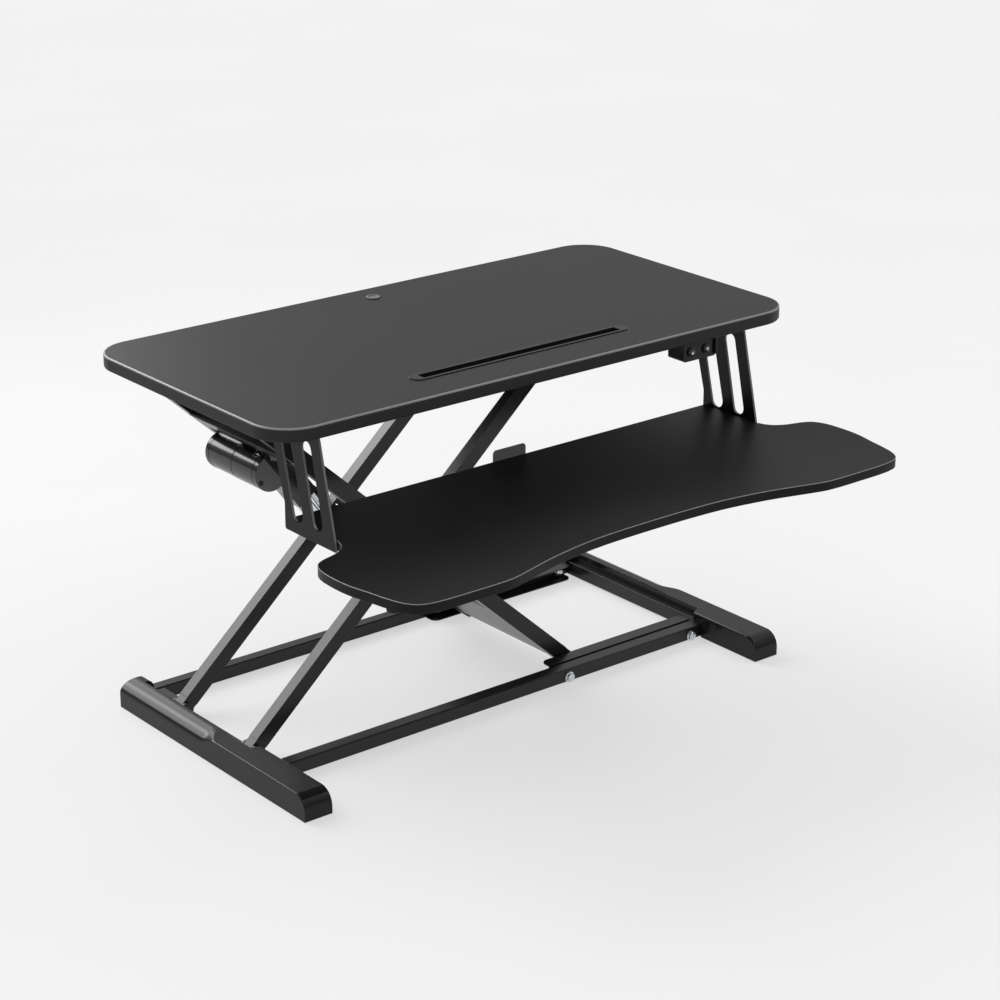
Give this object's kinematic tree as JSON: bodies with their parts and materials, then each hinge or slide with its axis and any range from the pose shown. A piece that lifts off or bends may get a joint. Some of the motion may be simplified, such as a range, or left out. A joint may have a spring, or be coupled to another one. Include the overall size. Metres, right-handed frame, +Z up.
{
  "type": "standing desk converter",
  "caption": "Motorised standing desk converter: wide rounded desktop with a device slot, a hanging keyboard tray, and an X-shaped arm lift on two long feet.",
  "frame": {"origin": "on the floor, at the centre of the whole object seen from above", "axes": "+X to the user's right, -Y towards the user, +Z up"},
  "size_m": [0.8, 0.6237, 0.4818],
  "materials": {
    "board": "fine-textured matte black laminate over board",
    "plastic": "satin black moulding",
    "painted": "satin black powder coat on steel",
    "rubber": "matte black rubber",
    "zinc": "bright zinc plating",
    "chrome": "polished chrome",
    "cover": "matte dark grey moulding",
    "nylon": "smooth dark nylon"
  },
  "bodies": {
    "base": {"left_foot_cover": "plastic", "right_foot_cover": "plastic", "left_foot_bar": "painted", "right_foot_bar": "painted", "floor_pad_front_left": "rubber", "floor_pad_front_right": "rubber", "floor_pad_rear_left": "rubber", "floor_pad_rear_right": "rubber", "front_cross_bar": "painted", "rear_cross_bar": "painted", "front_base_rail": "painted", "rear_base_rail": "painted", "rail_bolt_front_left": "zinc", "rail_bolt_front_right": "zinc", "rail_bolt_rear_left": "zinc", "rail_bolt_rear_right": "zinc"},
    "arm_a": {"arm_a_front": "painted", "arm_a_rear": "painted", "arm_a_cross_tube": "painted", "actuator_lug": "painted", "arm_a_hinge_rod": "zinc"},
    "upper_wheel_front": {"upper_roller_front": "nylon"},
    "upper_wheel_rear": {"upper_roller_rear": "nylon"},
    "arm_b": {"arm_b_front": "painted", "arm_b_rear": "painted", "arm_b_cross_tube": "painted", "clevis_bolt": "zinc", "arm_b_web_plate": "painted", "centre_pivot_bolt_front": "zinc", "centre_pivot_bolt_rear": "zinc", "motor_lead_lower": "rubber"},
    "lower_wheel_front": {"lower_roller_front": "nylon"},
    "lower_wheel_rear": {"lower_roller_rear": "nylon"},
    "drive": {"motor_can": "painted", "gearbox_housing": "plastic", "gearbox_cover": "cover"},
    "screw": {"lead_screw": "zinc"},
    "push_rod": {"push_tube": "chrome", "rod_end": "painted"},
    "platform": {"desktop": "board", "device_slot_insert": "plastic", "grommet_cap": "cover", "upper_rail_front": "painted", "upper_rail_rear": "painted", "cross_member_left": "painted", "cross_member_right": "painted", "hinge_bracket_top_front": "painted", "hinge_bracket_top_rear": "painted", "tray_bracket_left": "painted", "tray_bracket_right": "painted", "keyboard_tray": "board", "stop_tab": "painted", "tray_pad_left": "rubber", "tray_pad_right": "rubber", "control_box": "plastic", "controller_box": "plastic", "motor_lead_upper": "rubber"},
    "up_button": {"button_up": "cover"},
    "down_button": {"button_down": "cover"}
  },
  "joints": [
    {"name": "lift", "type": "hinge", "parent": "base", "child": "arm_a", "pos_m": [-0.337, 0.157, 0.012], "axis": [0, -1, 0], "range_deg": [-31.8, 1.5]},
    {"name": "centre_pivot", "type": "hinge", "parent": "arm_a", "child": "arm_b", "pos_m": [-0.09714, 0.157, 0.22683], "axis": [0, 1, 0], "range_deg": [-63.8, 3.2]},
    {"name": "top_hinge", "type": "hinge", "parent": "arm_b", "child": "platform", "pos_m": [-0.337, 0.157, 0.44167], "axis": [0, -1, 0], "range_deg": [-32, 1.7]},
    {"name": "drive_tilt", "type": "hinge", "parent": "arm_b", "child": "drive", "pos_m": [-0.254, 0.156, 0.362], "axis": [0, -1, 0], "range_deg": [-3.8, 0.4]},
    {"name": "drive_stroke", "type": "slide", "parent": "drive", "child": "push_rod", "axis": [0.599, 0, -0.8007], "range_m": [-0.058, 0.003]},
    {"name": "screw_spin", "type": "hinge", "parent": "drive", "child": "screw", "pos_m": [-0.254, 0.156, 0.362], "axis": [0.599, 0, -0.8007], "continuous": true},
    {"name": "upper_wheel_front_spin", "type": "hinge", "parent": "arm_a", "child": "upper_wheel_front", "pos_m": [0.14271, 0.06075, 0.44167], "axis": [0, 1, 0], "continuous": true},
    {"name": "upper_wheel_rear_spin", "type": "hinge", "parent": "arm_a", "child": "upper_wheel_rear", "pos_m": [0.14271, 0.25325, 0.44167], "axis": [0, 1, 0], "continuous": true},
    {"name": "lower_wheel_front_spin", "type": "hinge", "parent": "arm_b", "child": "lower_wheel_front", "pos_m": [0.14271, 0.03575, 0.012], "axis": [0, 1, 0], "continuous": true},
    {"name": "lower_wheel_rear_spin", "type": "hinge", "parent": "arm_b", "child": "lower_wheel_rear", "pos_m": [0.14271, 0.27825, 0.012], "axis": [0, 1, 0], "continuous": true},
    {"name": "up_button_press", "type": "slide", "parent": "platform", "child": "up_button", "axis": [0, 1, 0], "range_m": [0, 0.0015], "stiffness_N_per_m": 300, "springref_m": -0.001},
    {"name": "down_button_press", "type": "slide", "parent": "platform", "child": "down_button", "axis": [0, 1, 0], "range_m": [0, 0.0015], "stiffness_N_per_m": 300, "springref_m": -0.001}
  ],
  "couplings": [
    {"joint": "centre_pivot", "follows": "lift", "ratio": 2},
    {"joint": "top_hinge", "follows": "lift", "ratio": 1},
    {"joint": "drive_tilt", "follows": "lift", "ratio": 0.115},
    {"joint": "drive_stroke", "follows": "lift", "m_per_rad": 0.104},
    {"joint": "screw_spin", "follows": "lift", "ratio": 81.681}
  ]
}
